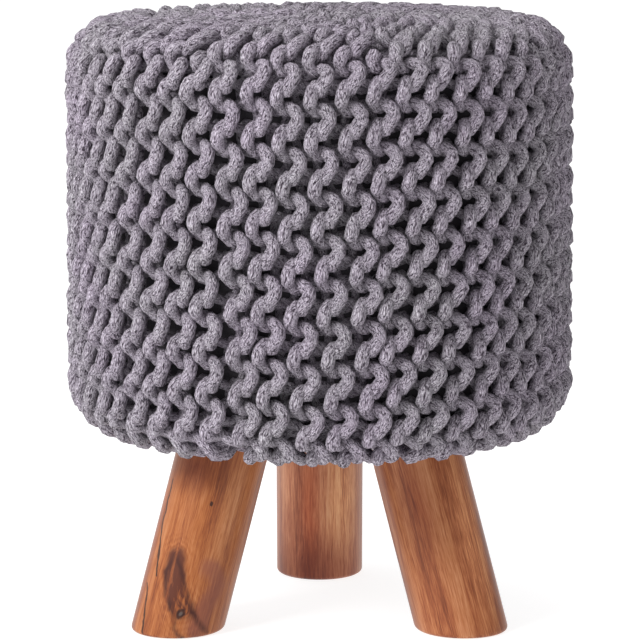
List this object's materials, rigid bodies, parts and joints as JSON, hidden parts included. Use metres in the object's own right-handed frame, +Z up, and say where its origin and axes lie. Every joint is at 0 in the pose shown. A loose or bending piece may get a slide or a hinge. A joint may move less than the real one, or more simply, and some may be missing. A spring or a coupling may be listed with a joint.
{
  "type": "knitted pouf footstool on three wooden legs",
  "caption": "Round drum footstool: a filled cushion in a chunky garter-stitch cord cover, standing on short splayed round wooden legs.",
  "frame": {"origin": "on the floor, under the middle of the stool", "axes": "+Z up, from the floor to the crown of the cushion; the front is at -Y, and the back leg points to +Y"},
  "size_m": [0.3498, 0.3498, 0.4205],
  "materials": {
    "knit_cord": "matt cotton cord, softly fuzzy",
    "leg_wood": "oiled hardwood with a soft sheen"
  },
  "bodies": {
    "root": {"knit_drum": "knit_cord", "leg_front_left": "leg_wood", "leg_front_right": "leg_wood", "leg_back": "leg_wood"}
  },
  "joints": []
}
